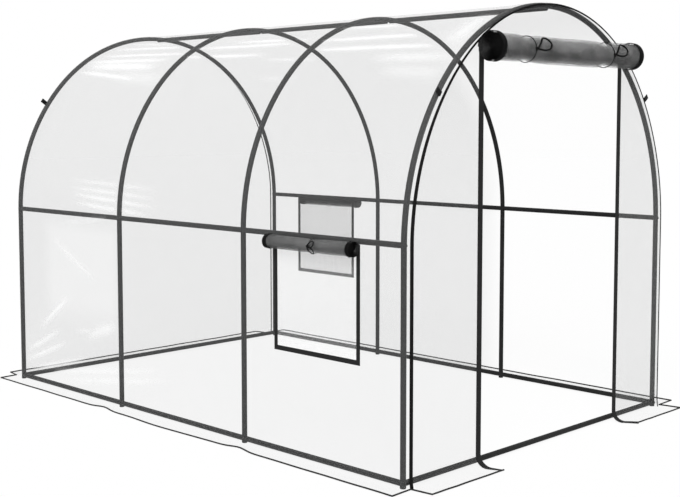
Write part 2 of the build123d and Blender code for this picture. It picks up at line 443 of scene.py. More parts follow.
def clear_film(name, highlight_strength):
    """Clear film: thin grey veil with a soft gloss, whitened by so much where it is creased as a painted
    highlight, on the face turned to the viewer only.
    """
    material, tree, surface = shader(name)
    veil, glow = attribute(tree, "veil"), attribute(tree, "glow")
    grain = scaled(tree, cloud(tree, 9.0), 0.96, 1.04)
    density = maths(tree, "MULTIPLY", maths(tree, "MULTIPLY", veil, grain), veil_alpha)
    # painted highlight: kept to the face of the skin that is turned to the viewer
    facing = maths(tree, "SUBTRACT", 1.0, add(tree, "ShaderNodeNewGeometry").outputs["Backfacing"])
    white = maths(tree, "MULTIPLY", maths(tree, "MULTIPLY", glow, highlight_strength), facing)
    both = maths(tree, "ADD", density, white)
    highlight_share = maths(tree, "DIVIDE", white, both)
    # painted highlight: white over the grey of the veil by its share
    colour = blend_colours(tree, highlight_share, (0.34, 0.345, 0.345), (0.98, 0.985, 0.985))
    feed(tree, surface, Base_Color=colour, Alpha=both, Roughness=0.22)
    return material


def rolled_film(name, dark, pale, thin, dense):
    """Film in many turns: cloudy grey, with wrinkles round the roll, each turn see-through."""
    material, tree, surface = shader(name)
    colour = blend_colours(tree, cloud(tree, 9.0, (1.0, 1.5, 1.5)), dark, pale)
    cover = scaled(tree, cloud(tree, 24.0), thin, dense)
    feed(tree, surface, Base_Color=colour, Alpha=cover, Roughness=0.35)
    relief(tree, surface, cloud(tree, 45.0, (0.4, 1, 1)), 0.004, 0.6)
    return material


def woven_black(name, dark, pale, along, across, depth, gloss):
    """Black woven tape: yarns that cross over and under, dull, with painted shade that darkens it between
    the yarns, paler on their crowns by a cloudy share.
    """
    material, tree, surface = shader(name)
    yarn = weave(tree, along, across)
    # painted shade: the colour follows the yarns' height, dark in the hollows between them
    shade = maths(tree, "MULTIPLY", yarn, scaled(tree, cloud(tree, 38.0), 0.6, 1.0))
    colour = blend_colours(tree, shade, (dark,) * 3, (pale,) * 3)
    dull = scaled(tree, yarn, 0.75, 0.6)
    feed(tree, surface, Base_Color=colour, Roughness=dull, Specular_IOR_Level=gloss)
    relief(tree, surface, yarn, depth, 0.7)
    return material


def insect_screen():
    """Mesh yarn, dull and pale, with painted shade that makes it dark on the side that looks in."""
    material, tree, surface = shader("screen_yarn")
    face = add(tree, "ShaderNodeMapRange", Value=attribute(tree, "outside"), From_Min=0.4, From_Max=0.6)
    # painted shade: pale where a corner looks out, dark where it looks in
    colour = blend_colours(tree, face.outputs["Result"], (0.016, 0.016, 0.016), (0.95, 0.955, 0.955))
    dull = scaled(tree, cloud(tree, 60.0), 0.6, 0.8)
    feed(tree, surface, Base_Color=colour, Roughness=dull, Specular_IOR_Level=0.1)
    return material


tube_coat = coated_tube()
# the outer skin carries the painted crease highlights, the inner skin none
film = clear_film("clear_film", 0.62)
film_inside = clear_film("clear_film_inside", 0.0)
door_film = rolled_film("door_film", (0.095, 0.096, 0.096), (0.37, 0.372, 0.372), 0.13, 0.22)
window_film = rolled_film("window_film", (0.080, 0.081, 0.081), (0.20, 0.202, 0.202), 0.24, 0.36)
edge_tape = woven_black("edge_tape", 0.004, 0.020, 14.0, 10.0, 0.0004, 0.15)
seam_cord = woven_black("seam_cord", 0.003, 0.010, 700.0, 8.0, 0.0002, 0.06)
hem_cord = woven_black("hem_cord", 0.010, 0.034, 700.0, 8.0, 0.0002, 0.15)
tie_cord = woven_black("tie_cord", 0.003, 0.009, 900.0, 6.0, 0.0003, 0.04)
loop_web = woven_black("loop_web", 0.003, 0.012, 14.0, 12.0, 0.0004, 0.15)
roll_tape = woven_black("roll_tape", 0.002, 0.007, 14.0, 10.0, 0.0004, 0.05)
screen_yarn = insect_screen()

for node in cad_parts.values():
    for place in node.material_slots:
        place.material = tube_coat


# Film cover

# Creases of the cover, whitened as painted highlights, by where they lie: each has the run
# from the crown and the place along the tunnel of its two ends, then its width and strength
highlight_creases = {
    "rear bay of the roof": (
        ((-0.39, 1.26), (-0.45, 0.70), 0.011, 0.60),
        ((-0.46, 1.32), (-0.50, 0.50), 0.013, 1.00),
        ((-0.54, 1.36), (-0.58, 0.40), 0.013, 1.00),
        ((-0.60, 1.42), (-0.63, 0.54), 0.018, 1.00),
        ((-0.64, 1.36), (-0.69, 0.60), 0.030, 1.00),
        ((-0.69, 1.40), (-0.79, 0.68), 0.014, 1.00),
        ((-0.74, 1.00), (-0.80, 0.42), 0.042, 0.33),
    ),
    "middle bay of the roof": (
        ((-0.53, 0.46), (-0.55, -0.46), 0.014, 1.00),
        ((-0.61, 0.50), (-0.64, -0.24), 0.013, 1.00),
        ((-0.48, 0.20), (-0.52, -0.48), 0.014, 1.00),
        ((-0.68, -0.24), (-0.70, -0.64), 0.011, 0.45),
        ((-0.82, -0.30), (-0.82, -0.62), 0.013, 0.22),
    ),
    "front bay of the roof": (
        ((-0.41, -0.56), (-0.43, -1.04), 0.013, 1.00),
        ((-0.54, -0.48), (-0.55, -1.32), 0.016, 1.00),
        ((-0.62, -0.46), (-0.65, -1.46), 0.015, 1.00),
        ((-0.71, -0.98), (-0.73, -1.52), 0.030, 0.50),
        ((-0.79, -1.08), (-0.83, -1.54), 0.034, 0.32),
        ((-0.36, -1.44), (-0.66, -1.40), 0.060, 0.62),
    ),
    "third hoop": (
        ((-1.395, 0.96), (-1.420, 0.16), 0.011, 0.55),
        ((-1.435, 0.95), (-1.465, 0.16), 0.011, 0.75),
        ((-1.470, 0.94), (-1.510, 0.15), 0.011, 1.00),
        ((-1.515, 0.93), (-1.550, 0.20), 0.011, 1.00),
        ((-1.635, 1.03), (-1.585, 0.57), 0.013, 0.35),
    ),
    "rear bay of the left wall": (
        ((-1.72, 1.13), (-1.93, 0.70), 0.015, 0.62),
        ((-2.24, 0.80), (-2.14, 0.50), 0.026, 0.90),
        ((-2.22, 0.92), (-2.20, 0.70), 0.012, 0.50),
    ),
    "rear left corner": (
        ((-2.25, 1.27), (-2.03, 0.96), 0.016, 1.00),
        ((-2.41, 1.44), (-2.23, 1.05), 0.013, 1.00),
        ((-2.46, 1.44), (-2.29, 0.98), 0.013, 1.00),
        ((-2.50, 1.38), (-2.36, 0.80), 0.013, 1.00),
    ),
    "foot of the left wall": (
        ((-2.48, 1.14), (-2.33, 0.12), 0.013, 0.95),
        ((-2.53, 1.10), (-2.37, 0.05), 0.013, 0.95),
    ),
}
# The film lies tight and clear over each hoop, and along a diagonal of each bay that
# starts at a place along the tunnel near the ridge and gains so much over the run; the
# painted crease highlights are left out there
highlight_gap_lines = ((0.856, 2.43), (-0.033, 2.05), (-0.922, 1.65))


def painted_crease_highlight(run, y):
    """Painted highlight mask on the flat film: the strongest whitened crease at each place.

    Each crease is a bell across the line between its two ends, and fades out towards them.
    """
    mask = np.zeros(np.broadcast_shapes(run.shape, y.shape))
    for crease in (crease for group in highlight_creases.values() for crease in group):
        (start_run, start_y), (end_run, end_y), width, strength = crease
        half_run, half_y = (end_run - start_run) / 2, (end_y - start_y) / 2
        half = np.hypot(half_run, half_y)
        off_run, off_y = run - (start_run + end_run) / 2, y - (start_y + end_y) / 2
        along = (off_run * half_run + off_y * half_y) / half**2
        across = (off_run * half_y - off_y * half_run) / half
        bell = np.exp(-((across / width) ** 2)) * np.clip(1.1 - 1.1 * along**2, 0, 1)
        mask = np.maximum(mask, strength * bell)
    return mask


def between_hoops(y):
    """One in the middle of a bay and nothing at its hoops, as a squared sine."""
    bay = hoop_y[1] - hoop_y[0]
    return np.sin(pi * (y - hoop_y[0]) / bay) ** 2


window_low, window_high = {}, {}
for side_name in wall_sides:
    binding_low, binding_high = box(f"{side_name}_window_binding")
    window_low[side_name] = binding_low[1:] + tape_width
    window_high[side_name] = binding_high[1:] - tape_width

front_flat, rear_flat = panel_y - rim_radius, rear_y - rim_radius
rim_turn = np.linspace(0, pi / 2, 8)[1:]
rim_step = rim_radius * np.sin(rim_turn)
rim_inset = rim_radius * (1 - np.cos(rim_turn))

sill, head = window_low["left"][1], window_high["left"][1]
wall_stops = [wall_run(side_bend), wall_run(sill), wall_run(head), wall_run(spring_height)]
left_grid = (  # stops and step of each stretch, finer where the film is creased
    ([-wall_stops[0], -wall_stops[1]], 0.009),
    ([-wall_stops[1], -wall_stops[2], -wall_stops[3]], 0.012),
    ([-wall_stops[3], -1.38], 0.0085),
    ([-1.38, -0.86], 0.03),
    ([-0.86, -0.36], 0.0085),
    ([-0.36, 0.0], 0.03),
)
left_run = np.concatenate([stations(stops, step)[:-1] for stops, step in left_grid])
right_run = stations([0.0, *wall_stops[::-1]], 0.045)
cover_run = np.concatenate([left_run, right_run])
front_stops = [-front_flat, window_low["left"][0], window_high["left"][0], 0.48]
rear_stops = [0.48, window_low["right"][0], window_high["right"][0], rear_flat]
flat_y = np.concatenate([stations(front_stops, 0.03)[:-1], stations(rear_stops, 0.012)])
cover_y = np.concatenate([-front_flat - rim_step[::-1], flat_y, rear_flat + rim_step])
cover_inset = np.concatenate([rim_inset[::-1], np.zeros(len(flat_y)), rim_inset])

run_grid, y_grid = cover_run[:, None], cover_y[None, :]
off_hoop = np.min(np.abs(cover_y[:, None] + 0.020 - hoop_y), axis=1)
highlight_kept = rise(off_hoop, 0.020, 0.052)[None, :]
for start_y, slope in highlight_gap_lines:
    highlight_kept = highlight_kept * rise(np.abs(y_grid - start_y - slope * (run_grid + 0.38)), 0.030, 0.080)
# painted crease highlight, left out close to the hoops and along the tight lines
glow = painted_crease_highlight(run_grid, y_grid) * highlight_kept
ripple = np.sin(9.0 * run_grid + 2.2 * np.sin(2.3 * y_grid))
ripple = ripple * np.sin(5.1 * y_grid + 3.0 * np.sin(1.7 * run_grid))
slack = 0.0016 * ripple * between_hoops(y_grid)
ridge_gap = crown_height + film_reach - film_skin - (ridge_height + tube_radius) - 0.0012
from_hoop = np.min(np.abs(cover_y[:, None] - hoop_y), axis=1)[None, :]
ridge_dip = ridge_gap * rise(from_hoop, 0.015, 0.11) * np.exp(-((run_grid / 0.20) ** 2))
cover_bulge = np.maximum(slack, -0.0012) + 0.0003 * glow - ridge_dip * (np.abs(y_grid) < hoop_y[-1])
cover_x, cover_z = gable(run_grid, film_reach - cover_inset[None, :] + cover_bulge)
cover_points = spots(cover_x, y_grid, cover_z)

# The film is clearer on the right wall's front bay, on the front rim and on a patch of the
# left wall's rear bay, each by a share
front_bay_clear, rim_clear, patch_clear = 0.91, 0.70, 0.80
front_bay_right = rise(run_grid, 0.25, 0.75) * (1 - rise(y_grid, -0.52, -0.30))
past_hoop = rise(-y_grid, panel_y - 0.006, panel_y - 0.001)
rear_patch = rise(y_grid, 0.47, 0.56) * (1 - rise(y_grid, 1.10, 1.26))
rear_patch = rear_patch * (1 - rise(run_grid, -1.70, -1.58)) * rise(run_grid, -2.24, -2.02)
cover_veil = (1 - front_bay_clear * front_bay_right) * (1 - patch_clear * rear_patch)
cover_veil = cover_veil * (1 - rim_clear * past_hoop)

cell_run = (cover_run[:-1] + cover_run[1:])[:, None] / 2
cell_y = (cover_y[:-1] + cover_y[1:])[None, :] / 2
in_window_run = (np.abs(cell_run) > wall_run(head)) & (np.abs(cell_run) < wall_run(sill))
kept = np.ones(np.broadcast_shapes(cell_run.shape, cell_y.shape), bool)
for side_name, side in wall_sides.items():
    in_window_y = (cell_y > window_low[side_name][0]) & (cell_y < window_high[side_name][0])
    kept &= ~(in_window_run & in_window_y & (cell_run * side > 0))
cover_sheet = piece(
    "cover_sheet",
    [lattice(cover_points, cover_run, cover_y, keep=kept, fields={"glow": glow, "veil": cover_veil})],
    film,
    ("roof_film", "left_wall_film", "right_wall_film"),
    closed=False,
    skin=film_skin,
    inside=film_inside,
)


# End panels

front_veil, front_right_veil = 0.93, 1.85  # the film right of the doorway is milkier
margin_width, margin_veil = 0.006, 0.25  # the welded edge is clear


def panel_rows(bottom, stop):
    """Runs from the crown, from the wall's foot up past a stop to the crown."""
    return stations([wall_run(bottom), wall_run(spring_height), stop, 0.12, 0.0], 0.03)


def end_panel(name, y, outward, bottom, replaced, doorway):
    """Flat end of the cover in level rows, from the wall's foot to the crown.

    Each row spans the gable line, moved in by the rim. Places up to one lie between the
    doorway's edges, up to two beside them and up to three on a narrow clear margin; the
    cells of the doorway are left out.
    """
    inset_reach = film_reach - rim_radius
    crown_fine = np.linspace(0, crown_run, 400)
    head_run = np.interp(-door_head, -gable(crown_fine, inset_reach)[1], crown_fine)
    runs = panel_rows(bottom, head_run)
    half_width, height = gable(runs, inset_reach)
    half_width = np.abs(half_width)
    head_width = np.interp(head_run, runs[::-1], half_width[::-1])
    edge_share = door_half / head_width
    edge = np.where(height < door_head, door_half, edge_share * half_width)
    place = stations([-3.0, -2.5, -2.0, -1.0, 1.0, 2.0, 2.5, 3.0], 0.125)
    away = np.abs(place)[None, :]
    margin = np.minimum(margin_width, 0.25 * (half_width - edge))[:, None]
    inner_edge, outer_edge = edge[:, None], half_width[:, None]
    beside = inner_edge + (away - 1) * (outer_edge - margin - inner_edge)
    reach_x = np.where(away <= 1, away * inner_edge, beside)
    reach_x = np.where(away > 2, outer_edge - (3 - away) * margin, reach_x)
    x = np.sign(place)[None, :] * reach_x
    z = np.broadcast_to(height[:, None], x.shape)
    billow = 0.002 * np.sin(3.1 * x + 1.0) * np.sin(2.3 * z) * np.clip(1 - away / 3, 0, 1)
    points = spots(x, y + outward * billow, z)
    veil, keep = np.ones_like(x), np.ones((len(height) - 1, len(place) - 1), bool)
    if doorway:
        veil = np.where((x > 0) & (z < door_head + 0.03), front_right_veil, front_veil)
        veil = veil * np.where(away > 2.4, margin_veil, 1.0)
        cell_away = np.abs(place[:-1] + place[1:])[None, :] / 2
        cell_height = ((height[:-1] + height[1:]) / 2)[:, None]
        keep = ~((cell_away < 1) & (cell_height < door_head))
    facing = (slice(None, None, -1), slice(None, None, outward))
    fields = {"glow": np.zeros_like(x), "veil": veil[facing]}
    sheet = lattice(points[facing], keep=keep[facing], fields=fields)
    made = piece(name, [sheet], film, replaced, closed=False, skin=film_skin)
    fine = np.linspace(0, wall_run(bottom), 800)
    fine_width, fine_height = gable(fine, inset_reach)
    mean_width = np.abs(fine_width[1:] + fine_width[:-1])
    area = np.sum(mean_width * -np.diff(fine_height))
    if doorway:
        area -= 2 * door_half * (door_head - bottom)


front_films = ("front_left_film", "front_right_film", "door_header_film")
end_panel("front_panel", -panel_y, -1, end_bend, front_films, True)
end_panel("rear_panel", rear_y, 1, end_bend, ("rear_film",), False)


# Ground flaps

hem_radius = 0.0038
flap_veil = 0.75


def flap_surface(root, edge, bend, ripple_turns, kinks):
    """Flap from the wall's foot line to its outer edge, both given by their two ends.

    Across the flap the film turns from upright to level on a quarter circle and then runs
    flat; towards the edge it lifts a little in waves. At a kink, a bell along the flap, the
    edge strays out, or is drawn in and lifts. Gives a grid of points.
    """
    root, edge = np.asarray(root, float), np.asarray(edge, float)
    length = np.linalg.norm(root[1] - root[0])
    share = stations([0.0, 1.0], 0.025 / length)[:, None, None]
    start = root[0] + share * (root[1] - root[0])
    out = edge[0] + share * (edge[1] - edge[0]) - start
    width = np.linalg.norm(out, axis=-1, keepdims=True)
    turn = np.linspace(0, pi / 2, bend_steps)[None, :, None]
    flat = np.linspace(0, 1, 8)[None, 1:, None]
    bend_away = np.broadcast_to(bend * (1 - np.cos(turn)), (len(share), bend_steps, 1))
    away = np.concatenate([bend_away, bend + flat * (width - bend)], axis=1)
    level = np.concatenate([bend * (1 - np.sin(turn)), np.zeros_like(flat)], axis=1)
    loose = np.clip((away - bend) / (width - bend), 0, 1)
    wave = np.sin(tau * ripple_turns * share + 1.3 * np.sin(9.0 * share))
    lift = 0.0007 * loose * (1 + wave * np.sin(tau * 0.37 * ripple_turns * share + 0.8))
    stray = np.sin(tau * 0.61 * ripple_turns * share + 2.0) * 0.0008
    for place, spread, amount in kinks:
        bell = np.exp(-(((share - place) / spread) ** 2))
        stray = stray + amount * bell
        lift = lift + 0.35 * max(-amount, 0.0) * loose * bell
    plan = start + out / width * (away + stray * loose)
    height = ground_lift + np.maximum(level, 0) + lift
    return np.concatenate([plan, np.broadcast_to(height, plan.shape[:2] + (1,))], axis=-1)


def ground_flap(name, root, edge, bend, ripple_turns, kinks, replaced):
    """Flap of film on the ground; gives its points, whose outer edges the cord hem follows."""
    points = flap_surface(root, edge, bend, ripple_turns, kinks)
    none = np.zeros(points.shape[:2])
    sheet = lattice(points, fields={"glow": none, "veil": none + flap_veil})
    made = piece(name, [sheet], film, (replaced,), closed=False, skin=film_skin)
    return points


def hem_path(edges, notches):
    """One line along the outer edges of the flaps in turn, through the notch after each."""
    runs = []
    for edge, notch in zip(edges, notches + [None]):
        runs.append(edge)
        if notch is not None:
            runs.append(np.array([[*notch, ground_lift + 0.001]]))
    return np.concatenate(runs) + (0, 0, hem_radius * 0.8)


side_edge = {"left": 1.088, "right": 1.152}
rear_edge_y = 1.672
front_edge_y = 1.626
notch_x = 0.975
side_tail = 1.574
left_kinks = ((0.31, 0.022, -0.014), (0.50, 0.070, 0.014), (0.66, 0.022, -0.013))  # place, spread, amount
flap_plans = {
    "front_left_ground_flap": (
        ((-door_half, -panel_y), (-notch_x, -panel_y)),
        ((-door_half + 0.034, -front_edge_y - 0.008), (-notch_x + 0.002, -front_edge_y - 0.006)),
        end_bend, 2.0, (), "front_left_flap",
    ),
    "left_ground_flap": (
        ((-wall_x, -panel_y), (-wall_x, side_tail)),
        ((-side_edge["left"] - 0.014, -panel_y - 0.010), (-side_edge["left"], side_tail + 0.004)),
        side_bend, 7.0, left_kinks, "left_flap",
    ),
    "rear_ground_flap": (
        ((-notch_x, rear_y), (notch_x, rear_y)),
        ((-notch_x + 0.004, rear_edge_y), (notch_x - 0.004, rear_edge_y)),
        end_bend, 5.0, (), "rear_flap",
    ),
    "right_ground_flap": (
        ((wall_x, side_tail), (wall_x, -panel_y)),
        ((side_edge["right"], side_tail + 0.004), (side_edge["right"], -panel_y + 0.014)),
        side_bend, 6.0, (), "right_flap",
    ),
    "front_right_ground_flap": (
        ((notch_x, -panel_y), (door_half, -panel_y)),
        ((notch_x + 0.064, -front_edge_y), (door_half + 0.067, -front_edge_y)),
        end_bend, 2.0, (), "front_right_flap",
    ),
}
flap_points = {flap_name: ground_flap(flap_name, *plan) for flap_name, plan in flap_plans.items()}
hem_notches = [(-0.985, -1.528), (-0.985, 1.580), (0.985, 1.580), (1.020, -1.512)]
hem = hem_path([points[:, -1] for points in flap_points.values()], hem_notches)
piece("flap_hems", [cord(hem, hem_radius, up, 8)], hem_cord)


# Seams where the cover meets its end panels

seam_drop = 0.006


def seam_path(y, outward, inset):
    """Gable line moved in over the rim by an inset at each run, turned out at both feet.

    The seam lies on the rim's quarter circle, or on the panel where the inset passes it.
    """
    bend_run, foot_run = wall_run(end_bend), wall_run(seam_drop)
    runs = stations([-foot_run, -bend_run, 0.0, bend_run, foot_run], 0.02)
    inset = inset(runs)
    x, z = gable(runs, film_reach - inset)
    back = rim_radius - np.sqrt(np.clip(rim_radius**2 - np.clip(rim_radius - inset, 0, None) ** 2, 0, None))
    foot = np.clip((end_bend - z) / end_bend, 0, 1)
    return runs, spots(x, y + outward * (0.0015 - back + 0.006 * foot**2), z)


def front_inset(runs):
    """The front seam lies well in on the walls and nearer the rim over the crown."""
    return 0.010 + 0.0125 * rise(-runs, 0.0, 1.1) + 0.0180 * rise(runs, 0.45, 1.3)


def rear_inset(runs):
    """The rear seam lies just inside the rim, and further in down the right wall."""
    return rim_radius + 0.011 * rise(runs, 0.6, 1.3)


front_runs, front_seam = seam_path(-panel_y, -1, front_inset)
front_bead = 0.0026 + 0.0017 * (1 - rise(front_runs, -0.10, 0.80))
front_bead = front_bead + 0.0033 * (1 - rise(front_runs, -1.60, -0.40))
rear_runs, rear_seam = seam_path(rear_y, 1, rear_inset)
piece("front_piping", [cord(front_seam, front_bead, (0.0, 1.0, 0.0), 10)], seam_cord)
rear_bead = 0.0012 + 0.0022 * rise(rear_runs, 0.50, 1.30)
piece("rear_piping", [cord(rear_seam, rear_bead, (0.0, 1.0, 0.0), 8)], seam_cord)


# Tape round the doorway and the windows

tape_thickness = 0.0018
door_tape_width = 0.034
door_tape_x = (-0.5390, 0.5512)  # middle of the left and of the right tape
tape_top = door_head + tape_width


def door_tape(centre_x, width, end_taper, flap, end):
    """Tape down an edge of the doorway that turns out along the end of its flap.

    Its face looks forward on the upright, and turns up with the flap's quarter circle.
    """
    upright_z = stations([tape_top, end_bend], 0.03)[:-1]
    upright = spots(centre_x, -panel_y, upright_z)
    along_flap = flap[end] + (centre_x - flap[end, 0, 0], 0, 0)
    place = np.arange(len(upright) + len(along_flap)) - len(upright)
    turn = np.interp(place, [0, bend_steps - 1], [0, pi / 2])
    face = spots(0.0, -np.cos(turn), np.sin(turn))
    path = np.concatenate([upright, along_flap]) + face * tape_thickness / 2
    taper = np.interp(place, [4, len(along_flap) - 1], [1.0, end_taper])
    return tape(path, face, width, tape_thickness, taper)


head_x = stations([-door_half - tape_width, door_half + tape_width], 0.03)
head_path = spots(head_x, -panel_y - tape_thickness / 2, door_head + tape_width / 2)
piece(
    "door_edge_tape",
    [
        door_tape(door_tape_x[0], door_tape_width, 0.45, flap_points["front_left_ground_flap"], 0),
        door_tape(door_tape_x[1], door_tape_width, 1.30, flap_points["front_right_ground_flap"], -1),
        tape(head_path, (0.0, -1.0, 0.0), tape_width, tape_thickness),
    ],
    edge_tape,
    ("door_left_binding", "door_right_binding", "door_head_binding"),
)


def window_tape(side_name, side):
    """Tape round a window as one mitred ring: a slab between two rectangles."""
    low, high = window_low[side_name], window_high[side_name]
    middle, half = (low + high) / 2, (high - low) / 2
    corner_y = np.array([-1, 1, 1, -1, -1])
    corner_z = np.array([-1, -1, 1, 1, -1])
    lap = stations([0.0, 1.0, 2.0, 3.0, 4.0], 0.06)[:-1]
    sign_y, sign_z = np.interp(lap, range(5), corner_y), np.interp(lap, range(5), corner_z)
    across, through = slab_section(tape_width, tape_thickness)
    out = across + tape_width / 2
    y = middle[0] + sign_y[:, None] * (half[0] + out[None, :])
    z = middle[1] + sign_z[:, None] * (half[1] + out[None, :])
    x = side * (wall_x + tape_thickness / 2 + through[None, :])
    lengths = np.append(lap, 4.0) * 2 * np.mean(half) / tape_width
    widths = np.append(out, out[0]) / tape_width
    return lattice(spots(x, y, z), lengths, widths, round_rows=True, round_columns=True)


for side_name, side in wall_sides.items():
    piece(
        f"{side_name}_window_tape",
        [window_tape(side_name, side)],
        edge_tape,
        (f"{side_name}_window_binding",),
    )


# Insect screens in the windows

yarn_pitch = 0.005
yarn_half = {"left": 0.00028, "right": 0.00052}  # the right screen is woven from broader yarn
yarn_rise = 0.00012
yarn_turn = (np.arange(4) + 0.5) * tau / 4


def yarns(length, width, half):
    """Yarns of a plain weave in the flat, one family.

    Each is a flat four-sided bar of a half width that passes over and under its crossings by a
    zigzag. Gives bars, points and corners as places along and across the weave and the rise
    out of it.
    """
    count, crossings = int(width / yarn_pitch), int(length / yarn_pitch)
    along = (np.arange(crossings + 1) - crossings / 2) * length / crossings
    across = (np.arange(count) - (count - 1) / 2) * width / count
    over = (-1.0) ** (np.arange(count)[:, None] + np.arange(crossings + 1)[None, :])
    points = np.zeros((count, crossings + 1, 4, 3))
    points[..., 0] = along[None, :, None]
    points[..., 1] = across[:, None, None] + half * np.cos(yarn_turn)
    points[..., 2] = over[..., None] * 1.5 * yarn_rise + yarn_rise * np.sin(yarn_turn)
    return points


def window_screen(side_name, side):
    """Both families of yarns of a window's screen, set in the wall.

    The corners that look out of the tunnel are marked, so that the rest of each yarn gets the painted
    shade.
    """
    low, high = window_low[side_name], window_high[side_name]
    size, middle = high - low, (low + high) / 2
    screen_x = np.mean([part[0] for part in box(f"{side_name}_window_screen")])
    half = yarn_half[side_name]
    level, upright = yarns(size[0], size[1], half), yarns(size[1], size[0], half)
    families = ((level, (2, 0, 1), 1), (upright, (2, 1, 0), -1))
    patches = []
    for bars, order, flip in families:
        rows = (bars[..., order] * (flip, 1, 1) + (screen_x, *middle)).reshape(-1, 4, 3)
        ends = np.arange(len(rows) - 1) % bars.shape[1] != bars.shape[1] - 1
        outside = (side * flip * np.sin(yarn_turn) > 0)[None, :].astype(float)
        keep = np.repeat(ends[:, None], 4, axis=1)
        patches.append(lattice(rows, round_columns=True, keep=keep, fields={"outside": outside}))
    return patches


for side_name, side in wall_sides.items():
    piece(
        f"{side_name}_screen_mesh",
        window_screen(side_name, side),
        screen_yarn,
        (f"{side_name}_window_screen",),
    )


# Rolled covers

roll_skin, roll_tape_skin = 0.0004, 0.0012
roll_bead = 0.0021


def roll_radius(turn, place, shape):
    """Radius of a rolled film at a turn angle and a place along its axis.

    The radius grows evenly with the angle from the heart to the outer turn; each tie draws
    the roll in, the bound ends stand out a little, and slow waves make it lumpy.
    """
    heart, outer, last = shape["heart"], shape["outer"], shape["turns"] * tau
    radius = heart + (outer - heart) * turn / last
    pinch = sum(np.exp(-(((place - tie) / shape["pinch_width"]) ** 2)) for tie in shape["ties"])
    flare = rise(np.abs(place), shape["length"] / 2 - 0.05, shape["length"] / 2 - 0.02)
    lump = np.sin(3 * turn + 11.0 * place) * np.sin(7.0 * place + 0.6 * turn)
    lump = lump + 0.6 * np.sin(2 * turn - 17.0 * place + 1.0)
    swell = shape["flare"] * flare + shape["lump"] * lump * (1 - flare)
    return radius * (1 - shape["pinch"] * pinch) + turn / last * swell


def roll_middle(place, shape):
    """Middle of a roll at a place along its axis, which sags between its ends."""
    place = np.asarray(place, float)[..., None]
    sag = shape["sag"] * np.cos(pi * place / shape["length"]) ** 2
    return np.asarray(shape["centre"]) + place * np.asarray(shape["axis"]) - sag * up


def roll_points(turn, place, shape, gain=0.0):
    """Points of a roll: the radius swung round its middle line."""
    radius = roll_radius(turn, place, shape) + gain
    angle = turn - shape["turns"] * tau + pi
    spoke = np.cos(angle)[..., None] * np.asarray(shape["out"]) + np.sin(angle)[..., None] * up
    return roll_middle(place, shape) + radius[..., None] * spoke


def roll_patch(shape, places, gain=0.0, steps=44):
    """Grid of a roll: turn angles down, places along the axis across."""
    turn = np.linspace(0, shape["turns"] * tau, int(shape["turns"] * steps) + 1)
    turn_grid, place_grid = np.broadcast_arrays(turn[:, None], places[None, :])
    points = roll_points(turn_grid, place_grid, shape, gain)
    return lattice(points, turn * shape["outer"] / tape_width, places / tape_width)


def rolled_cover(name, shape, material, replaced):
    """Rolled film with its two taped ends, each closed by a flat plug set a little in."""
    half = shape["length"] / 2
    film_end = half - 0.002
    film_places = np.linspace(-film_end, film_end, int(shape["length"] / 0.016))
    roll = [roll_patch(shape, film_places)]
    made = piece(name, roll, material, (replaced,), closed=False, skin=roll_skin)
    plug_radius, plug_half, plug_inset = shape["outer"] * 0.93, 0.001, 0.006
    plug = [(0.0, -plug_half), (plug_radius, -plug_half), (plug_radius, plug_half), (0.0, plug_half)]
    ends, beads = [], []
    for side in (-1, 1):
        places = side * np.linspace(half - shape["end_tape"], half, 5)
        ends.append(roll_patch(shape, places, gain=0.0007))
        last_turn = np.linspace(shape["turns"] - 1, shape["turns"], 60) * tau
        bead = roll_points(last_turn, np.full_like(last_turn, places[0]), shape, gain=0.0012)
        beads.append(cord(bead, roll_bead, shape["axis"], 8))
        middle = roll_middle(side * (half - plug_inset), shape)
        beads.append(turned(plug, middle, side * np.asarray(shape["axis"]), 40))
    piece(f"{name}_tape_edge", beads, tie_cord)
    bound = piece(f"{name}_tape", ends, roll_tape, closed=False)
    thickness = bound.modifiers.new("thickness", "SOLIDIFY")
    thickness.thickness = roll_tape_skin
    thickness.offset = 0


roll_low, roll_high = box("door_roll")
door_roll = {
    "centre": (roll_low + roll_high) / 2,
    "axis": (1.0, 0.0, 0.0),
    "out": (0.0, -1.0, 0.0),
    "length": roll_high[0] - roll_low[0],
    "outer": (roll_high[2] - roll_low[2]) / 2,
    "heart": 0.009,
    "turns": 9.0,
    "ties": (-0.312, 0.308),
    "pinch": 0.13,
    "pinch_width": 0.048,
    "flare": 0.0040,
    "lump": 0.0018,
    "sag": 0.004,
    "end_tape": 0.030,
    "against": "front_panel",
    "drop": 1.85,  # length unrolled
}
rolled_cover("door_cover_roll", door_roll, door_film, "door_roll")

window_rolls = {}
for side_name, side in wall_sides.items():
    roll_low, roll_high = box(f"{side_name}_window_roll")
    window_rolls[side_name] = {
        "centre": (roll_low + roll_high) / 2 - (0.0, 0.0, 0.008),
        "axis": (0.0, 1.0, 0.0),
        "out": (float(side), 0.0, 0.0),
        "length": roll_high[1] - roll_low[1],
        "outer": (roll_high[2] - roll_low[2]) / 2 - 0.004,
        "heart": 0.007,
        "turns": 4.0,
        "ties": (-0.028 if side < 0 else 0.0,),
        "pinch": 0.08,
        "pinch_width": 0.040,
        "flare": 0.0010,
        "lump": 0.0010,
        "sag": 0.002,
        "end_tape": 0.022,
        "against": "cover_sheet",
        "drop": 0.52,
    }
    roll_name = f"{side_name}_window_cover_roll"
    rolled_cover(roll_name, window_rolls[side_name], window_film, f"{side_name}_window_roll")


# Cord ties: a ring round the roll, a knot in front and a bow


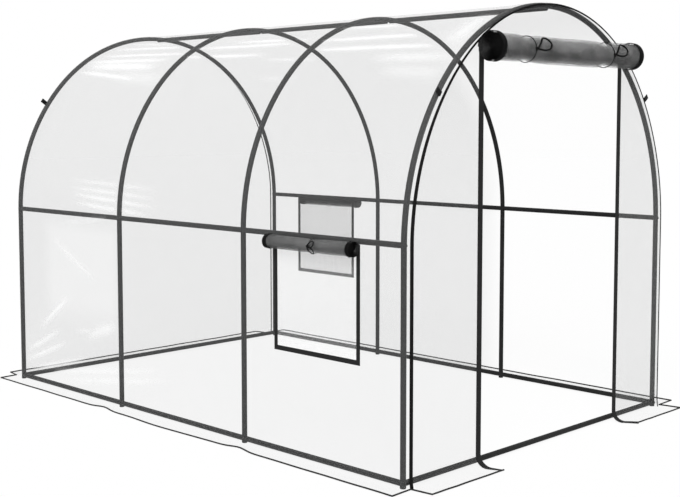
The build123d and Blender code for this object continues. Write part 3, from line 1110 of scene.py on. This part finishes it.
def tie(shape, place, bow, way, tie_radius):
    """Ring, knot and bow of a cord tie, as swept cords.

    The ring keeps to the roll's outer turn, the knot is a small trefoil, and each loop of
    the bow is a teardrop of a length, a width and a tilt, laid over the front of the roll
    one way along it.
    """
    turn = np.linspace(0, tau, 64, endpoint=False) + (shape["turns"] - 1) * tau
    full = np.full_like(turn, shape["turns"] * tau)
    ring_radius = tie_radius * 0.75
    radius = roll_radius(full, np.full_like(turn, place), shape) + ring_radius + 0.0004
    out, axis = np.asarray(shape["out"], float), np.asarray(shape["axis"], float)
    middle = roll_middle(place, shape)
    ring = middle + radius[:, None] * (np.cos(turn)[:, None] * out + np.sin(turn)[:, None] * up)
    reach = radius[0]
    knot_turn = np.linspace(0, tau, 48, endpoint=False)
    knot_size = 0.0038
    knot = (
        middle
        + (reach + 0.0025 + knot_size * 0.55 * np.sin(3 * knot_turn))[:, None] * out
        + (knot_size * (np.sin(knot_turn) + 1.3 * np.sin(2 * knot_turn)))[:, None] * axis
        + (knot_size * (np.cos(knot_turn) - 1.3 * np.cos(2 * knot_turn)))[:, None] * up
    )
    cords = [cord(ring, ring_radius, axis, 8, ring=True), cord(knot, tie_radius, out, 8, ring=True)]
    for length, width, tilt in bow:
        lap = np.linspace(0.02, 0.98, 60) * tau
        forward = length * (1 - np.cos(lap)) / 2
        sideways = width * np.sin(lap) * np.sin(lap / 2) ** 1.1
        along = forward * cos(tilt) - sideways * sin(tilt)
        above = forward * sin(tilt) + sideways * cos(tilt)
        lying = np.sqrt(np.maximum(reach**2 - above**2, (0.4 * reach) ** 2))
        stand = lying + 0.006 + 0.010 * np.sin(lap / 2)
        loop = middle + stand[:, None] * out + way * along[:, None] * axis + above[:, None] * up
        cords.append(cord(loop, tie_radius * 1.6, out, 8))
    return cords


door_bow = ((0.098, 0.034, radians(19.0)),)
window_bow = ((0.046, 0.017, radians(24.0)), (0.048, 0.015, radians(-26.0)))
piece(
    "door_ties",
    [part for place in door_roll["ties"] for part in tie(door_roll, place, door_bow, 1, 0.0026)],
    tie_cord,
    ("door_roll_ties",),
)
for side_name, shape in window_rolls.items():
    piece(
        f"{side_name}_window_cord",
        tie(shape, shape["ties"][0], window_bow, -1, 0.0017),
        tie_cord,
        (f"{side_name}_window_tie",),
    )


# Guy loops: webbing folded over and sewn into the seams

web_width = 0.024
web_thickness = 0.0016
web_reach = 0.034
tab_angle = haunch * 0.82


def guy_loop(side, end, lean):
    """Webbing folded into a flat loop that stands out of the seam along the arch's radius.

    The loop leans away from the cover's middle by an angle.
    """
    turn = tab_angle
    radial = np.array((side * cos(turn), 0.0, sin(turn)))
    round_arch = np.array((-side * sin(turn), 0.0, cos(turn)))
    radial = cos(lean) * radial + sin(lean) * np.array((0.0, float(end), 0.0))
    square = np.cross(round_arch, radial)
    foot_reach = film_reach - 0.007
    foot_x = (side_radius + foot_reach) * cos(turn) - side_offset
    foot_z = spring_height + (side_radius + foot_reach) * sin(turn)
    foot = np.array((side * foot_x, (rear_y if end > 0 else -panel_y) - end * 0.0035, foot_z))
    fold = web_thickness * 0.62
    legs = np.linspace(0, web_reach - 2 * fold, 6)
    bend = np.linspace(-pi / 2, pi / 2, 9)
    out = np.concatenate([legs[:-1], legs[-1] + fold * np.cos(bend), legs[::-1][1:]])
    apart = np.concatenate([np.full(5, -fold), fold * np.sin(bend), np.full(5, fold)])
    path = foot + out[:, None] * radial + apart[:, None] * square
    face = np.cross(headings(path), round_arch)
    return tape(path, face, web_width, web_thickness)


loop_places = ((-1, -1, 0.0), (1, -1, 0.0), (-1, 1, 0.0), (1, 1, radians(48.0)))
piece(
    "guy_loops",
    [guy_loop(side, end, lean) for side, end, lean in loop_places],
    loop_web,
    ("guy_tabs",),
)


# Foot caps and rail bolts

bolt_radius, bolt_rise = 0.0065, 0.0045
dome = np.linspace(0, pi / 2, 6)
bolt_profile = [(bolt_radius * 0.9, -0.001), (bolt_radius, 0.0004)]
bolt_profile += [(bolt_radius * cos(t), 0.0008 + (bolt_rise - 0.0008) * sin(t)) for t in dome]
bolts = []
for end, y in ((-1, hoop_y[0]), (1, hoop_y[-1])):
    for z in (rail_height, ground_rail_height):
        for x in (-half_span, half_span):
            bolts.append(turned(bolt_profile, (x, y + end * tube_radius, z), (0.0, float(end), 0.0)))
piece("rail_bolts", bolts, tube_coat)

cap_wall, cap_height, cap_round, cap_lip = 0.0007, 0.014, 0.003, 0.0004
cap_outer = tube_radius + cap_wall
cap_turn = np.linspace(pi / 2, 0, 5)
cap_profile = [(0.0, cap_lip)]
cap_profile += [
    (cap_outer - cap_round + cap_round * cos(t), cap_lip + cap_round - cap_round * sin(t)) for t in cap_turn
]
cap_profile += [(cap_outer, cap_height - 0.0006), (cap_outer - cap_lip, cap_height)]
cap_profile += [(tube_radius - cap_lip, cap_height)]
feet = [(side * half_span, y, 0.0) for side in (-1, 1) for y in hoop_y]
caps = [turned(cap_profile, foot, up, 28) for foot in feet]
piece("foot_caps", caps, tube_coat)


# Floor, light and camera


def white_where_seen(tree, seen, plain):
    """Shader that is the seen one to camera, glossy and transmitted rays, else the plain one."""
    light = add(tree, "ShaderNodeLightPath")
    either = maths(tree, "MAXIMUM", light.outputs["Is Camera Ray"], light.outputs["Is Glossy Ray"])
    either = maths(tree, "MAXIMUM", either, light.outputs["Is Transmission Ray"])
    mix = add(tree, "ShaderNodeMixShader")
    for socket, source in zip(mix.inputs, (either, plain, seen)):
        join(tree, socket, source)
    return mix.outputs[0]


def studio_floor():
    """Pale floor: white to the eye with a light trace of the shadows that fall on it."""
    material, tree, surface = shader("studio_floor")
    feed(tree, surface, Base_Color=(0.80, 0.80, 0.80, 1), Roughness=0.9, Specular_IOR_Level=0.0)
    glow = add(tree, "ShaderNodeEmission", Strength=1.0245)
    pale = add(tree, "ShaderNodeMixShader")
    for socket, source in zip(pale.inputs, (0.90, surface.outputs[0], glow.outputs[0])):
        join(tree, socket, source)
    bounce = add(tree, "ShaderNodeBsdfDiffuse", Color=(0.40, 0.40, 0.40, 1))
    seen = white_where_seen(tree, pale.outputs[0], bounce.outputs[0])
    feed(tree, tree.nodes["Material Output"], Surface=seen)
    return material


floor_half, floor_height = 40.0, -0.0008
floor_sides = ((-1, -1), (1, -1), (1, 1), (-1, 1))
floor_corners = [(x * floor_half, y * floor_half, floor_height) for x, y in floor_sides]
floor_mesh = bpy.data.meshes.new("studio_floor")
floor_mesh.from_pydata(floor_corners, [], [(0, 1, 2, 3)])
floor_mesh.materials.append(studio_floor())
floor = placed("studio_floor", floor_mesh)

world = bpy.data.worlds.new("studio")
bpy.context.scene.world = world
world.use_nodes = True
studio = world.node_tree
sky = studio.nodes["Background"]
feed(studio, sky, Color=(1, 1, 1, 1), Strength=0.34)
backdrop = add(studio, "ShaderNodeBackground", Color=(1, 1, 1, 1), Strength=1.0)
surround = white_where_seen(studio, backdrop.outputs[0], sky.outputs[0])
feed(studio, studio.nodes["World Output"], Surface=surround)

key = bpy.data.lights.new("key", "SUN")
key.energy = 3.3
key.angle = radians(35.0)
key_lamp = placed("key", key)
key_lamp.rotation_euler = (radians(52.0), 0.0, radians(-58.0))

lens = bpy.data.cameras.new("photo_view")
lens.sensor_width = 36.0
lens.lens = 61.83
lens.shift_x = -0.0093
lens.shift_y = -0.0520
camera = placed("photo_view", lens)
camera.location = (-4.4834, -4.5997, 1.484)
camera.rotation_euler = (radians(85.657), 0.0, radians(-45.488))
bpy.context.scene.camera = camera
bpy.context.scene.view_settings.view_transform = "Standard"
bpy.context.scene.cycles.transparent_max_bounces = 48
